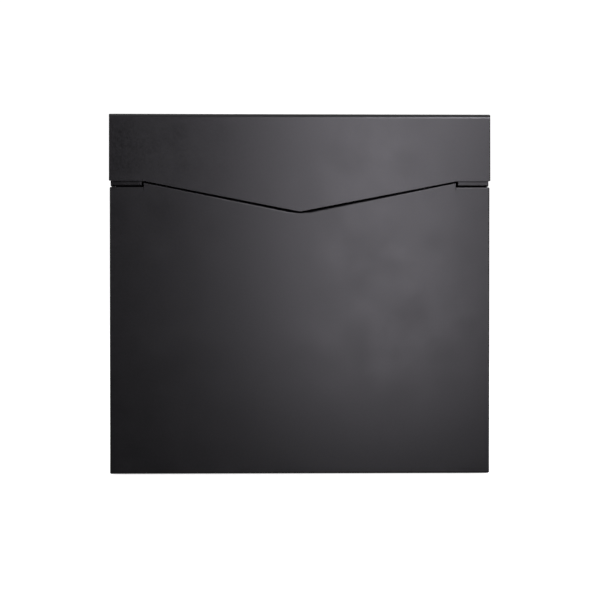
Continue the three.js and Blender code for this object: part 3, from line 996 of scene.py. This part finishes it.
@dataclass
class FastenerSet:
    """Like pieces set on points by a node tree: a domed head on a straight shank."""

    shop: Shop
    name: str
    nodes: list[str]
    head: float
    rise: float
    shank: float
    depth: float
    slot: Slot
    sides: int = 32

    def dome(self, bench: NodeBench, source: bpy.types.Node) -> Socket:
        """The domed head: a ball whose lower half is pressed flat.

        Args:
            bench: the tree's bench.
            source: the tree's input node.

        Returns:
            The head's geometry.
        """
        ball = bench.add("GeometryNodeMeshUVSphere")
        for key, number in (("Segments", self.sides), ("Rings", self.sides // 2), ("Radius", 1)):
            ball.inputs[key].default_value = number
        place, split = bench.add("GeometryNodeInputPosition"), bench.add("ShaderNodeSeparateXYZ")
        bench.join(place.outputs["Position"], split.inputs["Vector"])
        x, y, z = split.outputs
        parts = ((x, "Head Radius"), (y, "Head Radius"), (bench.combine("MAXIMUM", z, 0.0), "Head Rise"))
        whole = bench.add("ShaderNodeCombineXYZ")
        for (part, size), target in zip(parts, whole.inputs):
            bench.join(bench.combine("MULTIPLY", part, source.outputs[size]), target)
        moved = bench.add("GeometryNodeSetPosition")
        bench.join(ball.outputs["Mesh"], moved.inputs["Geometry"])
        bench.join(whole.outputs["Vector"], moved.inputs["Position"])
        return moved.outputs["Geometry"]

    def post(self, bench: NodeBench, source: bpy.types.Node) -> Socket:
        """The straight shank, sunk by half its depth.

        Args:
            bench: the tree's bench.
            source: the tree's input node.

        Returns:
            The shank's geometry.
        """
        shank = bench.add("GeometryNodeMeshCylinder")
        shank.inputs["Vertices"].default_value = self.sides
        bench.join(source.outputs["Shank Radius"], shank.inputs["Radius"])
        bench.join(source.outputs["Shank Depth"], shank.inputs["Depth"])
        sink, lower = bench.add("ShaderNodeCombineXYZ"), bench.add("GeometryNodeTransform")
        bench.join(bench.combine("MULTIPLY", source.outputs["Shank Depth"], -0.5), sink.inputs["Z"])
        bench.join(shank.outputs["Mesh"], lower.inputs["Geometry"])
        bench.join(sink.outputs["Vector"], lower.inputs["Translation"])
        return lower.outputs["Geometry"]

    def tree(self) -> bpy.types.NodeTree:
        """Builds the node tree that puts one fastener on each point.

        Returns:
            The tree, with named inputs for the fastener's sizes.
        """
        tree = bpy.data.node_groups.new(f"{self.name}_tree", "GeometryNodeTree")
        face = tree.interface
        face.new_socket("Geometry", in_out="INPUT", socket_type="NodeSocketGeometry")
        for label in ("Head Radius", "Head Rise", "Shank Radius", "Shank Depth"):
            face.new_socket(label, in_out="INPUT", socket_type="NodeSocketFloat")
        face.new_socket("Finish", in_out="INPUT", socket_type="NodeSocketMaterial")
        face.new_socket("Geometry", in_out="OUTPUT", socket_type="NodeSocketGeometry")
        bench = NodeBench(tree)
        source, result = bench.add("NodeGroupInput"), bench.add("NodeGroupOutput")
        both = bench.add("GeometryNodeJoinGeometry")
        bench.join(self.post(bench, source), both.inputs["Geometry"])
        bench.join(self.dome(bench, source), both.inputs["Geometry"])
        spread = bench.add("GeometryNodeInstanceOnPoints")
        spread.inputs["Rotation"].default_value = (math.pi / 2, 0, 0)
        bench.join(source.outputs["Geometry"], spread.inputs["Points"])
        bench.join(both.outputs["Geometry"], spread.inputs["Instance"])
        real, paint = bench.add("GeometryNodeRealizeInstances"), bench.add("GeometryNodeSetMaterial")
        bench.join(spread.outputs["Instances"], real.inputs["Geometry"])
        bench.join(real.outputs["Geometry"], paint.inputs["Geometry"])
        bench.join(source.outputs["Finish"], paint.inputs["Material"])
        bench.join(paint.outputs["Geometry"], result.inputs["Geometry"])
        return tree

    def build(self) -> None:
        """Puts the fasteners at their nodes' places, as one piece on the case."""
        points = bpy.data.meshes.new(self.name)
        places = []
        for node in self.nodes:
            x, _, z = middle_of(node)
            places.append((x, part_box(node)[0].y + self.rise, z))
        points.from_pydata(places, [], [])
        piece = new_object(self.name, points)
        tree = self.tree()
        modifier = piece.modifiers.new("fasteners", "NODES")
        modifier.node_group = tree
        values = {"Head Radius": self.head, "Head Rise": self.rise, "Shank Radius": self.shank,
                  "Shank Depth": self.depth, "Finish": self.shop.material(FINISHES[self.slot])}
        for item in tree.interface.items_tree:
            if item.in_out == "INPUT" and item.name in values:
                modifier[item.identifier] = values[item.name]
        apply_modifiers(piece)
        finish_edges(piece, 0)
        self.shop.settle(piece, self.slot, Body.CASE, self.nodes)


# --- hinges and lock


@dataclass
class HingeParts:
    """The rod, clips, pins, washers and bracket of the two hinges."""

    shop: Shop

    def turn(self, node: str, name: str, profile: Profile, axis: Axis, slot: Slot, width: float,
             finish: Finish | None = None) -> None:
        """Turns a round piece in its node's place, from the node's low end.

        Args:
            node: the CAD node that it stands for.
            name: the piece's name.
            profile: the (radius, height) section.
            axis: the lathe's axis.
            slot: its material slot.
            width: width of its broken edges.
            finish: its finish, where that isn't the slot's usual one.
        """
        middle = list(middle_of(node))
        index = "XYZ".index(axis.name)
        middle[index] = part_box(node)[0][index]
        piece = turned(name, profile, tuple(middle), axis)
        finish_edges(piece, width)
        self.shop.settle(piece, slot, Body.CASE, [node], finish)

    def build(self) -> None:
        """Builds every hinge part that stays on the case."""
        low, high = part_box("hinge_rod")
        length, radius = high.x - low.x, (high.z - low.z) / 2
        rod = [(0, 0), (radius - 0.6 * MM, 0), (radius, 0.6 * MM), (radius, length - 0.6 * MM),
               (radius - 0.6 * MM, length), (0, length)]
        self.turn("hinge_rod", "rod_steel", rod, Axis.X, Slot.STEEL, 0.12 * MM)
        for side in ("left", "right"):
            self.turn(f"rod_clip_{side}", f"clip_{side}", ring(3.3 * MM, 6 * MM, 1.1 * MM), Axis.X,
                      Slot.STEEL, 0.2 * MM)
        thin = ring(2.1 * MM, 3.5 * MM, 0.8 * MM)
        self.turn("pivot_washer_upper", "pivot_washer_top", thin, Axis.Z, Slot.NYLON, 0.12 * MM)
        self.turn("pivot_clip_upper", "pivot_clip", thin, Axis.Z, Slot.STEEL, 0.12 * MM)
        self.turn("pivot_washer_lower", "pivot_washer_bottom", ring(2.1 * MM, 3.5 * MM, 0.4 * MM), Axis.Z,
                  Slot.NYLON, 0.08 * MM)
        for level in ("upper", "lower"):
            pin_low, pin_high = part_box(f"pivot_pin_{level}")
            size = pin_high.z - pin_low.z
            pin = [(0, 0), (1.4 * MM, 0), (1.8 * MM, 0.4 * MM), (1.8 * MM, size - 1.3 * MM),
                   (3.2 * MM, size - 1.3 * MM), (3.2 * MM, size - 0.7 * MM), (2.2 * MM, size), (0, size)]
            # The pins get the dark finish: partly black plating, partly painted shade of the gap that they
            # sit in.
            self.turn(f"pivot_pin_{level}", f"pin_{level}", pin, Axis.Z, Slot.STEEL, 0.12 * MM, BLACKENED_FOR_GAP_SHADE)
        # The bracket gets the same dark finish: partly black plating, partly painted shade of the gap.
        bracket = softened("bracket_strap", "pivot_bracket", 0.25 * MM)
        self.shop.settle(bracket, Slot.STEEL, Body.CASE, ["pivot_bracket"], BLACKENED_FOR_GAP_SHADE)


@dataclass
class Lock:
    """The cam lock in the right jamb: housing, plug, washer, nut, cam and cam screw."""

    shop: Shop
    bore: float = 6.3 * MM
    barrel: float = 9.5 * MM
    head: float = 11.5 * MM
    head_thick: float = 1.5 * MM
    drive: float = 3.5 * MM
    key_half: float = 0.9 * MM

    def centre(self, y: float) -> Point:
        """A point on the lock's axis at a depth."""
        x, _, z = middle_of("lock_housing")
        return (x, y, z)

    def build_housing(self) -> None:
        """Turns the housing, with a rounded face ring."""
        low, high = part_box("lock_housing")
        length = high.y - low.y
        profile = [(self.bore, 0.3 * MM), (7 * MM, 0), (10.6 * MM, 0), (self.head, 0.7 * MM),
                   (self.head, self.head_thick), (self.barrel, self.head_thick), (self.barrel, length),
                   (self.bore, length)]
        piece = turned("housing_barrel", profile, self.centre(low.y), Axis.Y, 64)
        finish_edges(piece, 0.2 * MM)
        self.shop.settle(piece, Slot.ZINC, Body.CASE, ["lock_housing"])

    def build_plug(self) -> None:
        """Turns the plug and cuts its keyway."""
        low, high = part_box("lock_plug")
        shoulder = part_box("lock_cam")[0].y - 0.3 * MM - low.y
        profile = [(0, 0), (5.7 * MM, 0), (6 * MM, 0.3 * MM), (6 * MM, shoulder), (0, shoulder)]
        piece = turned("plug_barrel", profile, self.centre(low.y), Axis.Y, 64)
        x, _, z = self.centre(0)
        drive = box_cutter((x - self.drive, low.y + shoulder - MM, z - self.drive),
                           (x + self.drive, high.y, z + self.drive))
        carve(piece, [drive], "UNION")
        keyway = box_cutter((x - self.key_half, low.y - MM, z - 4 * MM),
                            (x + self.key_half, low.y + 14 * MM, z + 3 * MM))
        carve(piece, [keyway])
        finish_edges(piece, 0.15 * MM)
        self.shop.settle(piece, Slot.BRASS, Body.ROTOR, ["lock_plug"])

    def build(self) -> None:
        """Builds the whole lock."""
        self.build_housing()
        self.build_plug()
        washer = turned("washer_ring", ring(9.8 * MM, 12.5 * MM, 0.8 * MM),
                        self.centre(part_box("lock_washer")[0].y), Axis.Y, 64)
        finish_edges(washer, 0.15 * MM)
        self.shop.settle(washer, Slot.STEEL, Body.CASE, ["lock_washer"])
        for node, name, slot, body in (("lock_nut", "nut_hexagon", Slot.ZINC, Body.CASE),
                                       ("lock_cam", "cam_blade", Slot.STEEL, Body.ROTOR),
                                       ("cam_screw", "cam_screw_head", Slot.STEEL, Body.ROTOR)):
            self.shop.settle(softened(name, node, 0.3 * MM), slot, body, [node])


# --- studio


@dataclass
class Studio:
    """The camera, the lights, the pale floor and the surroundings."""

    distance: float = 1.8
    azimuth: float = -1.38
    elevation: float = 0.8
    lens: float = 100.8
    aim: Point = (0.0052, -0.073, 0.1788)
    dim: float = 0.03
    bright: float = 0.55

    def build_camera(self) -> None:
        """Places the camera in front of the box, a little above its middle."""
        data = bpy.data.cameras.new("camera")
        data.lens = self.lens
        data.sensor_width = 36
        camera = new_object("camera", data)
        turn, rise = math.radians(self.azimuth), math.radians(self.elevation)
        back = Vector((math.sin(turn) * math.cos(rise), -math.cos(turn) * math.cos(rise), math.sin(rise)))
        camera.location = Vector(self.aim) + back * self.distance
        camera.rotation_euler = (-back).to_track_quat("-Z", "Y").to_euler()
        data.clip_start, data.clip_end = 0.01, 100
        bpy.context.scene.camera = camera

    def area(self, name: str, place: Point, aim: Point, size: tuple[float, float], power: float,
             colour: Point = (1, 1, 1)) -> None:
        """Adds a rectangular soft light that lights the box without being seen itself.

        Args:
            name: the light's name.
            place: where it stands.
            aim: the point that it faces.
            size: its width and height.
            power: its power in watts.
            colour: its colour.
        """
        data = bpy.data.lights.new(name, "AREA")
        data.shape = "RECTANGLE"
        data.size, data.size_y = size
        data.energy = power
        data.color = colour
        light = new_object(name, data)
        light.location = place
        light.rotation_euler = (Vector(aim) - Vector(place)).to_track_quat("-Z", "Y").to_euler()
        light.visible_camera = False

    def build_lights(self) -> None:
        """A tall narrow key almost in front, a smaller light above it, and lights at the sides and rear."""
        self.area("key", (0.16, -1.146, 0.498), (0, -0.07, 0.379), (0.27, 0.98), 5.0, (0.95, 0.91, 1.0))
        self.area("upper", (0.42, -0.95, 0.93), (0, -0.07, 0.3), (0.45, 0.2), 8.0, (0.95, 0.92, 1.0))
        self.area("left_side", (-1.6, 0.3, 0.9), (0, 0, 0.2), (1.2, 1.6), 14)
        self.area("right_side", (1.7, 0.2, 0.9), (0, 0, 0.2), (1.2, 1.6), 22)
        self.area("rear", (0.5, 1.8, 1.3), (0, 0, 0.2), (1.6, 1.2), 12)

    def build_floor(self) -> None:
        """A pale floor that rises into a pale wall far behind the box."""
        shape = bmesh.new()
        near, far, radius, side, height = -6.0, 3.0, 1.2, 7.0, 5.0
        arc = [(far + radius * math.sin(a), radius - radius * math.cos(a))
               for a in (math.radians(7.5 * i) for i in range(13))]
        section = [(near, 0), *arc, (far + radius, height)]
        drop = 0.5 * MM
        rows = [[shape.verts.new((x, y, z - drop)) for y, z in section] for x in (-side, side)]
        for i in range(len(section) - 1):
            shape.faces.new((rows[0][i], rows[1][i], rows[1][i + 1], rows[0][i + 1]))
        floor = from_bmesh("pale_floor", shape)
        for face in floor.data.polygons:
            face.use_smooth = True
        material = bpy.data.materials.new("pale_paper")
        material.use_nodes = True
        shader = material.node_tree.nodes["Principled BSDF"]
        shader.inputs["Base Color"].default_value = (0.86, 0.86, 0.86, 1)
        shader.inputs["Roughness"].default_value = 0.9
        shader.inputs["Emission Color"].default_value = (1, 1, 1, 1)
        shader.inputs["Emission Strength"].default_value = 0.85
        floor.data.materials.append(material)
        floor.visible_diffuse = False
        floor.visible_glossy = False

    def build_world(self) -> None:
        """Soft light from the sides, above and behind, and little from straight in front."""
        world = bpy.data.worlds.new("studio")
        bpy.context.scene.world = world
        world.use_nodes = True
        nodes, links = world.node_tree.nodes, world.node_tree.links
        back = nodes["Background"]
        place, split = nodes.new("ShaderNodeTexCoord"), nodes.new("ShaderNodeSeparateXYZ")
        fade = nodes.new("ShaderNodeMapRange")
        fade.interpolation_type = "SMOOTHSTEP"
        limits = (("From Min", -0.85), ("From Max", -0.35), ("To Min", self.dim), ("To Max", self.bright))
        for key, number in limits:
            fade.inputs[key].default_value = number
        links.new(place.outputs["Generated"], split.inputs["Vector"])
        links.new(split.outputs["Y"], fade.inputs["Value"])
        links.new(fade.outputs["Result"], back.inputs["Strength"])
        back.inputs["Color"].default_value = (1, 1, 1, 1)
        bpy.context.scene.view_settings.view_transform = "Standard"

    def build(self) -> None:
        """Builds the whole studio."""
        self.build_camera()
        self.build_lights()
        self.build_floor()
        self.build_world()


# --- the whole scene


def main() -> None:
    """Loads the frame and builds every piece in order."""
    logging.basicConfig(level=logging.INFO, format="%(name)s: %(message)s")
    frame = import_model()
    FRAME_NODES.update(frame["nodes"])
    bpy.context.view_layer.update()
    shop = Shop()
    Studio().build()
    Lid(shop).build()
    Door(shop).build()
    Case(shop).build()
    for name, key, slot, sizes in FASTENERS:
        nodes = [node for node in FRAME_NODES if key in node]
        FastenerSet(shop, name, nodes, *(size * MM for size in sizes), slot).build()
    HingeParts(shop).build()
    Lock(shop).build()


if __name__ == "__main__":
    main()
